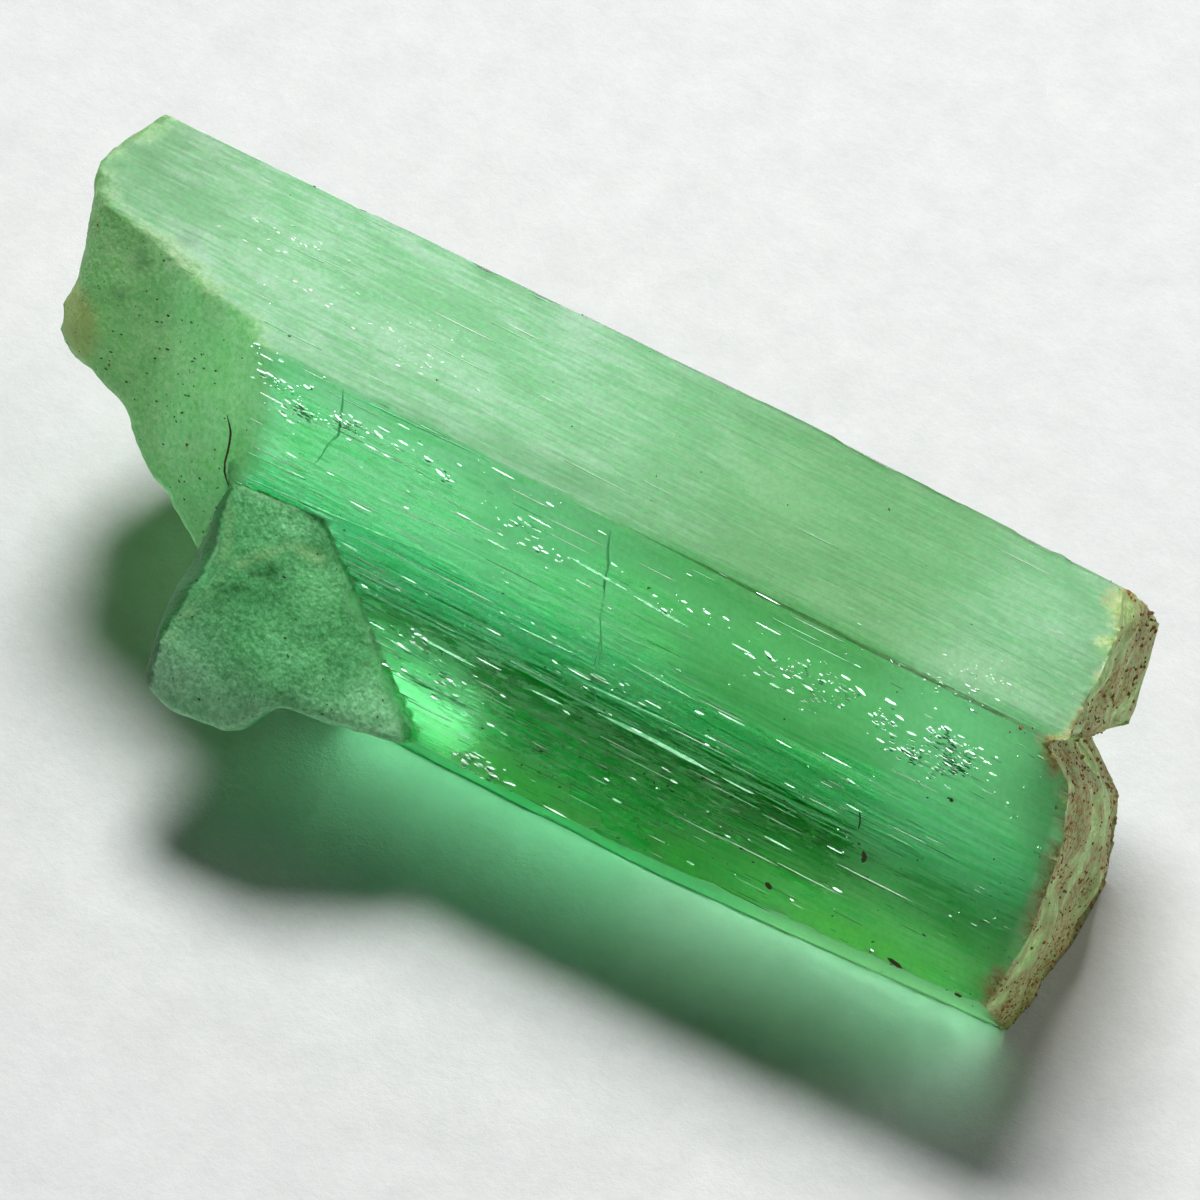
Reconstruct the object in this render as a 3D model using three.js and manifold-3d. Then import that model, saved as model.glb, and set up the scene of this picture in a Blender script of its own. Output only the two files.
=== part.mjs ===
// Rough emerald crystal: one hexagonal beryl prism that lies on a prism face. Both ends are
// broken, and the stump of a side growth stands out from its front left edge.
// Millimetres, +Z up, +X along the prism, -Y the front. Origin: bottom centre of its box.
import * as THREE from "three";
import { ConvexGeometry } from "three/addons/geometries/ConvexGeometry.js";
import { mergeVertices } from "three/addons/utils/BufferGeometryUtils.js";
import Module from "manifold-3d";

// ---- Driving dimensions ----------------------------------------------------------------
// The prism is laid out from the left end of its top back edge, where x and y are 0.
const PRISM_HEIGHT = 4.42; // resting face to top face
const TOP_WIDTH = 1.95; // top face, front to back
const BACK_UPPER_WIDTH = 2.3; // upper back face, down its slope
const FRONT_WIDTH_LEFT = 3.2; // upper front face, down its slope, at the left end
const FRONT_WIDTH_MIDDLE = 3.14;
const FRONT_WIDTH_RIGHT = 2.84; // the prism tapers towards the right
const BACK_SWELL = 0.1; // the top back edge bows outwards by this much at mid-length
const PRISM_ANGLE = THREE.MathUtils.degToRad(60); // beryl's prism faces turn by 60 degrees
const BLANK_LEFT = -0.9; // the prism before its ends are broken off
const TAPER_START = 7.4;
const BLANK_RIGHT = 12.6;
const TOOL_REACH = 12; // half the size of a breaking tool

const rise = Math.sin(PRISM_ANGLE);
const run = Math.cos(PRISM_ANGLE);
const point = (x, y, z) => new THREE.Vector3(x, y, z);

const wasm = await Module();
wasm.setup();

// ---- From three.js geometry to solids, and back ----------------------------------------
function solidOf(geometry) {
  const bare = geometry.clone();
  bare.deleteAttribute("normal");
  bare.deleteAttribute("uv");
  const merged = mergeVertices(bare, 1e-5);
  const vertexCount = merged.attributes.position.count;
  const index = merged.index ?? { array: Uint32Array.from({ length: vertexCount }, (_, i) => i) };
  const mesh = new wasm.Mesh({
    numProp: 3,
    vertProperties: new Float32Array(merged.attributes.position.array),
    triVerts: new Uint32Array(index.array),
  });
  return new wasm.Manifold(mesh);
}

function geometryOf(solid) {
  const { vertProperties, triVerts } = solid.getMesh();
  const geometry = new THREE.BufferGeometry();
  geometry.setAttribute("position", new THREE.BufferAttribute(vertProperties, 3));
  geometry.setIndex(new THREE.BufferAttribute(triVerts, 1));
  geometry.computeVertexNormals();
  return geometry;
}

const hull = (points) => solidOf(new ConvexGeometry(points));

// ---- The prism -------------------------------------------------------------------------
// Its six corners at x, from the top back edge round by the front.
function prismCorners(x, frontWidth, swell = 0) {
  const frontZ = PRISM_HEIGHT - frontWidth * rise;
  const frontY = -TOP_WIDTH - frontWidth * run;
  const backZ = PRISM_HEIGHT - BACK_UPPER_WIDTH * rise;
  const backY = BACK_UPPER_WIDTH * run + swell;
  const leanIn = run / rise; // the lower faces come in by this much per mm down
  return [
    point(x, swell, PRISM_HEIGHT),
    point(x, -TOP_WIDTH, PRISM_HEIGHT),
    point(x, frontY, frontZ),
    point(x, frontY + frontZ * leanIn, 0),
    point(x, backY - backZ * leanIn, 0),
    point(x, backY, backZ),
  ];
}

const blank = hull([
  ...prismCorners(BLANK_LEFT, FRONT_WIDTH_LEFT),
  ...prismCorners(TAPER_START, FRONT_WIDTH_MIDDLE, BACK_SWELL),
  ...prismCorners(BLANK_RIGHT, FRONT_WIDTH_RIGHT),
]);

// ---- Breaking tools --------------------------------------------------------------------
// A long block whose working side leaves a ribbed break. The break's main plane goes through
// `at` and faces `outward`. `profile` lists [place, height] along `across`, in mm: height is
// how far the break stands out from that plane.
function breaker({ at, outward, across, profile }) {
  const up = outward.clone().normalize();
  const side = across.clone().projectOnPlane(up).normalize();
  const first = profile[0];
  const last = profile[profile.length - 1];
  const outline = new THREE.Shape();
  outline.moveTo(-TOOL_REACH, TOOL_REACH);
  outline.lineTo(-TOOL_REACH, first[1]);
  for (const [place, height] of profile) {
    outline.lineTo(place, height);
  }
  outline.lineTo(TOOL_REACH, last[1]);
  outline.lineTo(TOOL_REACH, TOOL_REACH);
  const block = new THREE.ExtrudeGeometry(outline, { depth: 2 * TOOL_REACH, bevelEnabled: false });
  block.translate(0, 0, -TOOL_REACH);
  const frame = new THREE.Matrix4().makeBasis(side, up, side.clone().cross(up));
  block.applyMatrix4(frame);
  block.translate(at.x, at.y, at.z);
  return solidOf(block);
}

// ---- Left end --------------------------------------------------------------------------
const leftBreaks = [
  // square across the prism, a little uneven
  breaker({
    at: point(-0.06, 0, PRISM_HEIGHT),
    outward: point(-1, 0, 0.03),
    across: point(0, -1, 0),
    profile: [[-1.1, -0.35], [-0.5, -0.12], [0, -0.05], [0.4, 0.06], [0.85, 0.14], [1.3, 0.02], [1.6, -0.08],
      [1.95, -0.02], [2.4, -0.12]],
  }),
  // oblique, nearly along the upper front face; its right side ends at a low step
  breaker({
    at: point(0, -1.25, PRISM_HEIGHT),
    outward: point(-0.184, -0.825, 0.534),
    across: point(0.96, -0.035, 0.277),
    profile: [[-0.3, -0.12], [0.1, 0.02], [1.2, -0.03], [2.1, 0.02], [2.32, 0.2], [3.1, 3]],
  }),
  // undercut: the lower front left corner is missing, so the left end overhangs
  breaker({
    at: point(1.06, -2.485, 2.98),
    outward: point(-0.499, -0.723, -0.4775),
    across: point(0.867, -0.4, -0.3),
    profile: [[-1.4, 0.12], [-1.05, 0.2], [-0.55, 0.02], [-0.05, -0.02], [0.4, 0.1], [1.1, 0.06], [2, 0.12]],
  }),
  // the lower back corner
  breaker({
    at: point(0.35, 0.6, 2.1),
    outward: point(-0.85, 0.3, -0.42),
    across: point(0, 1, 0.3),
    profile: [[-1, 0.05], [0, 0], [0.9, -0.15]],
  }),
];

// ---- Right end -------------------------------------------------------------------------
const rightBreaks = [
  // one break, leaning back a little, with a rounded rib across its lower half
  breaker({
    at: point(11.24, 0, PRISM_HEIGHT),
    outward: point(1, 0.207, -0.069),
    across: point(0, -0.8267, -0.5625),
    profile: [[1, 0.04], [1.5, 0.01], [2.1, 0.19], [2.7, 0.24], [3.4, 0.18], [4.1, -0.02], [4.5, -0.15]],
  }),
  // a chip off the top back corner
  breaker({
    at: point(11.1, 0, PRISM_HEIGHT),
    outward: point(1, 0.55, 0.32),
    across: point(0, 1, 0),
    profile: [[-0.55, 0.02], [0.25, 0], [1, 0.1]],
  }),
  // a notch, from the top front corner down to the back, where it is deepest
  hull([
    point(11.53, -2.11, 4.54),
    point(12.7, -1.4, 5.07),
    point(12.7, -2.74, 4.09),
    point(10.39, 0.92, 0.62),
    point(12.7, 2.23, 1.54),
    point(12.7, -0.43, -0.42),
  ]),
];

// ---- Stump of a side growth ------------------------------------------------------------
// A ramp on the upper front face that climbs to the left, with a crest near its top and a
// lip that overhangs the front edge. Its left side is steep.
const ramp = hull([
  // where it runs out on the upper front face
  point(2.53, -2.74, 3.16),
  point(3.58, -2.64, 3.22),
  point(4.15, -2.95, 2.82),
  // crest
  point(2.87, -3.49, 2.75),
  point(3.11, -3.29, 2.95),
  point(3.47, -3.02, 3.1),
  // lip, from the left round to the heel
  point(2.53, -4.14, 2.0),
  point(2.5, -4.36, 1.5),
  point(2.94, -4.51, 1.55),
  point(3.63, -4.49, 1.65),
  point(3.87, -4.3, 1.8),
  point(4.03, -4.26, 2.2),
  // left side
  point(2.29, -3.21, 2.3),
  point(2.4, -3.67, 1.9),
  // underside
  point(2.75, -3.9, 1.2),
  point(3.6, -3.85, 1.2),
  point(3.15, -2.85, 0.95),
  // root, inside the prism
  point(3.6, -2.2, 2.2),
  point(3.2, -2.2, 2.6),
  point(3.2, -2.5, 1.3),
]);

// The ramp's wedge-shaped right side, which runs out along the front edge.
const skirt = hull([
  // along the upper front face
  point(4.1, -2.98, 2.8),
  point(4.41, -3.06, 2.46),
  point(4.94, -3.4, 1.87),
  // outer edge
  point(3.97, -4.2, 2.17),
  point(4.6, -3.97, 2.0),
  point(5.32, -3.7, 1.75),
  // underside
  point(3.8, -3.7, 1.5),
  point(4.35, -3.45, 1.25),
  point(5.1, -3.4, 1.45),
  // root, inside the prism
  point(4.3, -2.1, 2.2),
  point(3.4, -2.35, 1.9),
  point(4.5, -2.6, 1.4),
]);

// ---- The whole crystal -----------------------------------------------------------------
let crystal = blank;
for (const tool of [...leftBreaks, ...rightBreaks]) {
  crystal = crystal.subtract(tool);
}
crystal = crystal.add(ramp).add(skirt);

const geometry = geometryOf(crystal);
geometry.computeBoundingBox();
const box = geometry.boundingBox;
const middle = box.getCenter(new THREE.Vector3());
geometry.translate(-middle.x, -middle.y, -box.min.z);

const emerald = new THREE.MeshStandardMaterial({
  color: "#7cc795",
  roughness: 0.2,
  metalness: 0,
  flatShading: true,
});

const crystalMesh = new THREE.Mesh(geometry, emerald);
crystalMesh.name = "emerald_crystal";

const part = new THREE.Group();
part.name = "rough_emerald";
part.add(crystalMesh);

export default part;
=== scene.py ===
# A small rough emerald crystal, lying on a prism face on pale paper. One unit is one metre.
import math

import bmesh
import bpy
import numpy as np
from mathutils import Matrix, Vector
from mathutils.bvhtree import BVHTree
from mathutils.kdtree import KDTree


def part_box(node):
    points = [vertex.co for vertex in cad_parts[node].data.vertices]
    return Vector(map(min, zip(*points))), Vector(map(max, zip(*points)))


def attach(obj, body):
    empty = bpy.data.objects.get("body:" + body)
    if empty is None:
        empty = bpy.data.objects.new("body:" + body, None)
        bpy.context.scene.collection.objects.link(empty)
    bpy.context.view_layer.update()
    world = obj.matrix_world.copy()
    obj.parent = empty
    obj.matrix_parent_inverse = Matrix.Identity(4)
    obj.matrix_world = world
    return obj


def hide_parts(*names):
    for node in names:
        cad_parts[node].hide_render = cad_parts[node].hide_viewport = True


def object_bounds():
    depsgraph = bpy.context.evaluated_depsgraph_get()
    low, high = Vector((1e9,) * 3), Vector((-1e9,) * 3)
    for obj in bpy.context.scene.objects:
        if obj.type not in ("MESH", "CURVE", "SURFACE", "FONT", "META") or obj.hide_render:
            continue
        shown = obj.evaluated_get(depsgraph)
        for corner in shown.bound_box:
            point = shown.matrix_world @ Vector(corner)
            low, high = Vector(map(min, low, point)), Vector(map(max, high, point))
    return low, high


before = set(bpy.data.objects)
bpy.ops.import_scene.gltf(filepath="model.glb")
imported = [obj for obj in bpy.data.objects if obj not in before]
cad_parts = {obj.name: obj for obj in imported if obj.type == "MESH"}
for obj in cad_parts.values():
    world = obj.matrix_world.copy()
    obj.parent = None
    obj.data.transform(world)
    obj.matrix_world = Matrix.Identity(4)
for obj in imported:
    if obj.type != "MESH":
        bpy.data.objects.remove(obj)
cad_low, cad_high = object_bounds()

scene = bpy.context.scene

# ---- The crystal's body ----------------------------------------------------------------
# One prism of beryl, grown as one piece, with the broken stump of a side growth. Its growth faces are
# striated along the prism: milky on top, glassy on the upper front, clear behind and below. Both
# ends, the oblique break at the left and the stump are frosted, and iron stains the right end.
MM = 0.001
crystal_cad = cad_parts["emerald_crystal"]
low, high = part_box("emerald_crystal")

PRISM_LEFT = low.x + 0.267 * MM  # left end of the top back edge
TOP_BACK_Y = high.y - 1.25 * MM
TOP_WIDTH = 1.95 * MM
PRISM_TURN = math.radians(60)

SLICE = 0.11 * MM  # mesh pitch along the prism
LAYER = 0.05 * MM  # mesh pitch across it, before the two upper faces are halved again
WELD = 1e-8

body_mesh = bmesh.new()
body_mesh.from_mesh(crystal_cad.data)
bmesh.ops.remove_doubles(body_mesh, verts=body_mesh.verts, dist=1e-7)
bmesh.ops.dissolve_limit(
    body_mesh, angle_limit=math.radians(0.4), verts=body_mesh.verts, edges=body_mesh.edges
)

# Every face is sorted once, while it is still whole: growth faces first, then the breaks.
GROWTH, OBLIQUE_BREAK, LEFT_BREAK, RIGHT_BREAK, STUMP = range(5)
kind = body_mesh.faces.layers.int.new("kind")


def is_growth(face):
    n = face.normal
    if abs(n.x) > 0.08 or face.calc_area() < 0.5 * MM * MM:
        return False
    turn = math.degrees(math.atan2(n.z, n.y)) % 60
    return abs(turn - 30) < 4


for face in body_mesh.faces:
    middle = face.calc_center_median()
    if is_growth(face):
        face[kind] = GROWTH
    elif middle.x > high.x - 1.9 * MM:
        face[kind] = RIGHT_BREAK
    elif low.x + 2.6 * MM < middle.x < low.x + 5.6 * MM and middle.y < -1.0 * MM:
        face[kind] = STUMP
    elif face.normal.y < -0.6 and face.normal.z > 0.3:
        face[kind] = OBLIQUE_BREAK
    else:
        face[kind] = LEFT_BREAK

ridges = []
for edge in body_mesh.edges:
    one, two = edge.link_faces
    if one[kind] == two[kind] == GROWTH and one.normal.angle(two.normal) > 0.5:
        ridges.append([list(v.co) for v in edge.verts])
ridges = np.array(ridges)


def cut_into_slices(direction, start, end, pitch):
    for k in range(1, int((end - start) / pitch)):
        bmesh.ops.bisect_plane(
            body_mesh,
            geom=body_mesh.verts[:] + body_mesh.edges[:] + body_mesh.faces[:],
            plane_co=direction * (start + k * pitch),
            plane_no=direction,
            dist=WELD,
        )


cut_into_slices(Vector((1, 0, 0)), low.x, high.x, SLICE)
cut_into_slices(Vector((0, 1, 0)), low.y, high.y, LAYER)
cut_into_slices(Vector((0, 0, 1)), low.z, high.z, LAYER)

body_mesh.normal_update()
across = [
    e for e in body_mesh.edges
    if all(f[kind] == GROWTH and f.normal.z > 0.3 and f.normal.y < 0.3 for f in e.link_faces)
    and abs((e.verts[0].co - e.verts[1].co).normalized().x) < 0.5
]
bmesh.ops.subdivide_edges(body_mesh, edges=across, cuts=1, use_grid_fill=False)
bmesh.ops.triangulate(body_mesh, faces=body_mesh.faces)

# The breaks are worn a little round, the stump more so, and the oblique break's rim with them.
oblique_break = KDTree(len(body_mesh.verts))
for i, v in enumerate(body_mesh.verts):
    if any(f[kind] == OBLIQUE_BREAK for f in v.link_faces):
        oblique_break.insert(v.co, i)
oblique_break.balance()
worn_rim = [
    v for v in body_mesh.verts
    if oblique_break.find(v.co)[2] < 0.2 * MM and all(f[kind] != STUMP for f in v.link_faces)
]
worn_ends = [
    v for v in body_mesh.verts
    if v.co.z > 0.05 * MM and all(f[kind] not in (GROWTH, STUMP) for f in v.link_faces)
]
worn_stump = [v for v in body_mesh.verts if all(f[kind] == STUMP for f in v.link_faces)]
for worn, passes in ((worn_rim, 12), (worn_ends, 10), (worn_stump, 50)):
    for _ in range(passes):
        bmesh.ops.smooth_vert(
            body_mesh, verts=worn, factor=0.5, use_axis_x=True, use_axis_y=True, use_axis_z=True
        )
body_mesh.normal_update()

# For each point: the way out, and how much of it belongs to each kind of face.
body_mesh.verts.ensure_lookup_table()
place = np.array([v.co for v in body_mesh.verts])
outward = np.zeros((len(place), 3))
share = np.zeros((len(place), 5))
for v in body_mesh.verts:
    normals = {tuple(round(c, 2) for c in f.normal): f.normal for f in v.link_faces}
    outward[v.index] = sum(normals.values(), Vector()) / len(normals)
    for f in v.link_faces:
        share[v.index, f[kind]] += 1 / len(v.link_faces)


def noise(points, period, seed):
    """Smooth value noise from -1 to 1, with a period in millimetres for each axis."""
    p = points / (np.array(period) * MM)
    cell = np.floor(p).astype(np.int64)
    part = p - cell
    part = part * part * (3 - 2 * part)
    total = np.zeros(len(p))
    for corner in range(8):
        step = np.array([corner & 1, corner >> 1 & 1, corner >> 2 & 1])
        key = (cell + step) @ np.array([73856093, 19349663, 83492791]) + seed * 2654435761
        key = (key ^ (key >> 13)) * 1274126177 & 0xFFFFFFFF
        key = (key ^ (key >> 16)) * 2246822519 & 0xFFFFFFFF
        value = ((key ^ (key >> 15)) & 0xFFFF) / 32767.5 - 1
        total += np.prod(np.where(step, part, 1 - part), axis=1) * value
    return total


def terraces(height, riser):
    """Turns a smooth height into flat treads with short risers."""
    whole = np.floor(height)
    part = np.clip((height - whole - 0.5) / riser + 0.5, 0, 1)
    return whole + part * part * (3 - 2 * part)


def smooth_step(value, start, end):
    t = np.clip((value - start) / (end - start), 0, 1)
    return t * t * (3 - 2 * t)


def distance_to_lines(points, segments):
    nearest = np.full(len(points), 1.0)
    for a, b in segments:
        along = b - a
        t = np.clip((points - a) @ along / max(along @ along, 1e-12), 0, 1)
        nearest = np.minimum(nearest, np.linalg.norm(points - a - t[:, None] * along, axis=1))
    return nearest


def distance_to_points(points, others):
    """In millimetres."""
    lookup = KDTree(len(others))
    for i, co in enumerate(others):
        lookup.insert(co, i)
    lookup.balance()
    return np.array([lookup.find(co)[2] for co in points]) / MM


growth = share[:, GROWTH]
on_top = outward[:, 2] > 0.9
on_front = (outward[:, 1] < -0.4) & (outward[:, 2] > -0.1)
# Growth faces: flat treads and short risers along the prism, a few micrometres high.
striated = (
    0.004 * terraces(2.2 * noise(place, (9, 0.6, 0.6), 1), 0.4)
    + 0.002 * terraces(2.5 * noise(place, (3.5, 0.22, 0.22), 2), 0.4)
    + 0.001 * noise(place, (1.4, 0.1, 0.1), 3)
) * np.where(on_top | on_front, 1.0, 0.3)
# The breaks: broad waves, and finer ones that are weaker on the two worn breaks.
rugged = 1 - 0.6 * share[:, OBLIQUE_BREAK] - 0.4 * share[:, STUMP]
broken = 0.08 * noise(place, (0.9, 0.9, 0.9), 5) + rugged * (
    0.05 * noise(place, (0.33, 0.33, 0.33), 6) + 0.02 * noise(place, (0.13, 0.13, 0.13), 7)
)

# `x` runs along the prism, `u` over the top face and down the upper front face, and `t` down the
# upper front face alone, from its ridge. All are in mm, as is `height`.
x = (place[:, 0] - PRISM_LEFT) / MM
t = (cad_high.z - place[:, 2]) / math.sin(PRISM_TURN) / MM
u = np.where(on_top, (TOP_BACK_Y - place[:, 1]) / MM, TOP_WIDTH / MM + t)
height = place[:, 2] / MM

# Each ridge is worn to a round: the top front one widely towards the right.
edge = distance_to_lines(place, ridges) / MM
near_front_ridge = np.abs(u - TOP_WIDTH / MM) < 0.5
radius = 0.03 + near_front_ridge * (0.05 + 0.33 * smooth_step(x, 5.5, 8.5))
inside_round = np.clip(radius * math.tan(PRISM_TURN / 2) - edge, 0, None)
rounding = radius - np.sqrt(radius**2 - inside_round**2)
chipping = noise(place, (0.35, 0.2, 0.2), 8) + 0.5 * noise(place, (0.12, 0.1, 0.1), 9)
nick = np.clip(chipping - 0.25, 0, 1) * 0.08 * np.exp(-((edge / 0.06) ** 2))
nick *= 1 - near_front_ridge * smooth_step(x, 5.0, 7.0)
# The lower front face is very slightly hollow.
LOWER_FRONT_WIDTH = 1.95
HOLLOW = 0.09
lower_front = (growth > 0) & (outward[:, 2] < -0.2) & (outward[:, 1] < -0.6)
front_ridge_height = np.interp(x, [0, 7.4, 12.6], [1.65, 1.7, 1.96])
down_lower_front = np.clip((front_ridge_height - height) / math.sin(PRISM_TURN), 0, LOWER_FRONT_WIDTH)
hollow = lower_front * HOLLOW * np.sin(np.pi * down_lower_front / LOWER_FRONT_WIDTH)
move = (growth * (striated - nick - rounding - hollow) + (1 - growth) * broken) * MM
move[place[:, 2] < 0.02 * MM] = 0
shaped = place + outward * move[:, None]
shaped[:, 2] = np.maximum(shaped[:, 2], 0)
for v in body_mesh.verts:
    v.co = shaped[v.index]


def from_line(*corners):
    """Distance in millimetres to a line through corners given in x, y and z like `x` above."""
    way = [np.array([PRISM_LEFT + a * MM, TOP_BACK_Y + b * MM, c * MM]) for a, b, c in corners]
    return distance_to_lines(place, list(zip(way, way[1:]))) / MM


def from_corner(*corner):
    return from_line(corner, corner)


def oval(x_away, away, half_length, half_width):
    """1 at the middle of a soft oval patch on a prism face, falling off to 0."""
    return np.exp(-((x_away / half_length) ** 2) - (away / half_width) ** 2)


# Where each finish lies. Milky skin covers the top, spills over its front ridge and whitens the left
# end of the upper back. The frost of the breaks creeps a little way over the growth faces.
upper_back = (outward[:, 1] > 0.4) & (outward[:, 2] > -0.1)
under = (outward[:, 2] < -0.2) & (growth > 0)
lower_back = under & (outward[:, 1] > 0.6)
cloud = noise(place, (1.8, 0.6, 0.6), 11) + 0.6 * noise(place, (0.8, 0.2, 0.2), 12)
rim = 2.1 + 0.45 * cloud + 0.8 * smooth_step(x, 6.4, 8.6) + 0.4 * smooth_step(-x, -2.6, -1.2)
milk = np.where(on_top | on_front, 1 - smooth_step(u, rim - 0.4, rim + 0.6), 0.0)
far_right = smooth_step(x, 6.8, 7.8)
clear_strip = np.exp(-(((height - 3.8 - 0.18 * far_right) / (0.13 + 0.05 * far_right)) ** 2))
clear_strip *= smooth_step(x, 2.6, 3.4) * (0.75 + 0.25 * far_right)
milk_behind = 0.25 * (1 - far_right) * (1 - clear_strip)
milk_behind += 0.65 * (1 - smooth_step(x + 0.35 * cloud, 2.4, 3.4))
milk[upper_back] = milk_behind[upper_back]
milk_below = 0.3 * (1 - 0.6 * far_right) * smooth_step(height + 0.15 * cloud, 0.3, 0.8)
milk_below *= 1 - smooth_step(height, 1.0, 1.3)
milk[lower_front] = milk_below[lower_front]

left_breaks = share[:, OBLIQUE_BREAK] + share[:, LEFT_BREAK]
right_break = share[:, RIGHT_BREAK]
fray = 0.12 * noise(place, (0.3, 0.16, 0.16), 16) + 0.07 * noise(place, (0.1, 0.07, 0.07), 17)
near_left = distance_to_points(place, place[left_breaks > 0])
near_right = distance_to_points(place, place[right_break > 0])
olive = np.maximum(left_breaks, 1 - smooth_step(near_left + fray, 0.0, np.where(on_top, 0.2, 0.3)))
right = np.maximum(right_break, 1 - smooth_step(near_right + fray, 0.0, 0.14))
stump_side = share[:, STUMP] * smooth_step(outward[:, 0], 0.55, 0.75)
stump = share[:, STUMP] - stump_side
right = right * (1 - stump)
olive = olive * (1 - stump)
tan = olive * (1 - smooth_step(np.hypot((x - 0.24) / 0.36, (height - 3.33) / 0.36), 0.5, 1.2))
notch_facet = right_break * np.exp(-((from_corner(11.6, -1.6, 4.0) / 0.2) ** 2))

# Iron stain: patchy on the right break, thickest low down, with a spot at the notch.
rust_field = noise(place, (0.3, 0.5, 0.5), 14) + 0.8 * noise(place, (0.12, 0.16, 0.16), 15)
rust_field += 0.8 * (1 - smooth_step(height, 0.8, 2.2)) + 0.25 * np.exp(-(((height - 3.0) / 0.5) ** 2))
rust_field += 0.35 * smooth_step(near_right, -0.2, 0.02)
rust_at_notch = np.exp(-((from_line((11.4, -1.85, 4.0), (11.3, -2.1, 3.9)) / 0.14) ** 2))
iron = right * np.maximum(smooth_step(rust_field, -0.1, 0.6), rust_at_notch)

# Frost and a warmer tone spread over the right end of the prism, and pale veils lie in four places.
low_right = on_front * smooth_step(t, 2.3, 2.8) * smooth_step(x, 7.6, 9.0)
frost_band = smooth_step(t, 0.05, 0.5) * (1 - smooth_step(t + 0.2 * cloud, 0.5, 1.3))
frost_band *= smooth_step(x, 5.0, 8.0)
frost = np.maximum(low_right, on_front * np.maximum(smooth_step(x, 9.3, 10.4), frost_band))
warm = smooth_step(x, 4.4, 8.3) - 0.5 * smooth_step(x, 9.2, 10.6) + 0.3 * smooth_step(-x, -1.3, 0.1)
warm = np.maximum((on_top | on_front) * warm, low_right)
veil = oval(x - 10.3, u - 1.7 + 0.12 * (x - 10.3), 0.75, 0.22)
veil = np.maximum(veil, 0.8 * oval(x - 9.0, u - 2.6, 0.4, 0.22))
veil = np.maximum(veil, 0.7 * oval(x - 2.1, u - 0.9, 0.7, 0.35))
veil = np.maximum(veil, 0.7 * oval(x - 3.6, u - 1.1, 0.6, 0.3))
veil *= on_top | on_front

# The resting face is matte, seen from within: one pale patch near the stump, deep green beside it. The pale
# patch, and a fainter one towards the right end, are painted pools of focused light, and the strip along its
# back edge is painted lighter over the shade that falls there.
skin = place[:, 2] < 0.02 * MM
floor_y = (place[:, 1] - TOP_BACK_Y) / MM
# A painted pool of focused light on the resting face, with a fainter one towards the right end.
pale = np.exp(-(((floor_y + 0.75 + 0.59 * (x - 3.9)) / 0.6) ** 2))
pale *= smooth_step(x, 3.1, 3.6) * (1 - smooth_step(x, 4.7, 5.6))
pale = skin * np.maximum(pale, 0.3 * smooth_step(x, 8.0, 9.2) * smooth_step(-floor_y, 1.1, 1.5))
right_floor = skin * smooth_step(x, 7.8, 9.4)
# The back strip of the resting face is painted lighter: painted light over the shade there.
back_floor = skin * smooth_step(floor_y, -1.1, -0.5)
deep = growth * lower_back * (1 - smooth_step(height, 0.4, 0.95))

# The stump: a painted highlight along its left rim and its crest, its lower lobe painted lighter, painted
# shade in patches below the crest and over its left side, and dark spots near the top of the crystal's left
# end.
rim_line = from_line((2.53, -2.74, 3.16), (2.87, -3.49, 2.75), (2.53, -4.14, 2.0), (2.5, -4.36, 1.5))
crest_line = from_line((2.87, -3.49, 2.75), (3.11, -3.29, 2.95), (3.47, -3.02, 3.1), (3.75, -2.95, 3.0))
below_crest = from_line((2.95, -3.62, 2.65), (3.14, -3.44, 2.86), (3.36, -3.28, 2.9))
speckle = noise(place, (0.16, 0.12, 0.12), 33) + 0.5 * noise(place, (0.06, 0.06, 0.06), 34)
speckle = smooth_step(speckle, -0.3, 0.3)
# A painted highlight along the stump's left rim and crest.
pale_rim = np.maximum(0.6 * np.exp(-((rim_line / 0.1) ** 2)), np.exp(-((crest_line / 0.06) ** 2)))
pale_rim *= stump * (0.25 + 0.75 * speckle)
# The stump's lower lobe is painted lighter: painted light on a part that faces down.
lobe = stump * (1 - smooth_step(height, 1.8, 2.5))
# Painted shade below the crest and over the stump's left side; dark spots near the top of the left end join
# it below.
dark_patch = stump * np.maximum(speckle * np.exp(-((below_crest / 0.1) ** 2)), outward[:, 0] < -0.5)
for corner, reach in (((0.75, -1.55, 4.22), 0.12), ((0.6, -1.76, 3.84), 0.09), ((1.07, -1.19, 4.42), 0.1)):
    spot = np.exp(-((from_corner(*corner) / reach) ** 2)) * (0.4 + 0.6 * speckle)
    dark_patch = np.maximum(dark_patch, 0.7 * spot)

# The upper front face: a belt of glints near its ridge with thicker clusters in it, glowing clouds
# behind them, and a worn lower edge.
front = growth * on_front
belt_line = np.interp(x, [2.4, 3.4, 4.3, 6.6, 7.8, 9.5, 10.9], [0.15, 0.35, 0.2, 0.6, 0.55, 0.6, 0.7])
past_oblique_break = front * (x > 2.0)
belt = past_oblique_break * np.exp(-(((t - belt_line) / 0.17) ** 2))
belt *= smooth_step(noise(place, (0.7, 0.4, 0.4), 21), -0.1, 0.4)
belt_cloud = past_oblique_break * np.exp(-(((t - belt_line) / 0.3) ** 2)) * smooth_step(cloud, -0.4, 0.4)
left_cluster = front * oval(x - 3.0, t - 0.28, 0.42, 0.22)
right_cluster = front * oval(x - 10.3, t - 0.62, 0.42, 0.22)
low_cluster = front * oval(x - 5.15, t - 2.3, 0.35, 0.25)
edge_cluster = front * oval(x - 5.8, t - 3.1, 0.4, 0.12)
mid_streaks = front * oval(x - 7.4, t - 1.8, 0.8, 0.3)
clumps = noise(place, (0.22, 0.13, 0.13), 25) + 0.5 * noise(place, (0.5, 0.3, 0.3), 26)
clumps = smooth_step(clumps, -0.3, 0.7)
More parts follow.
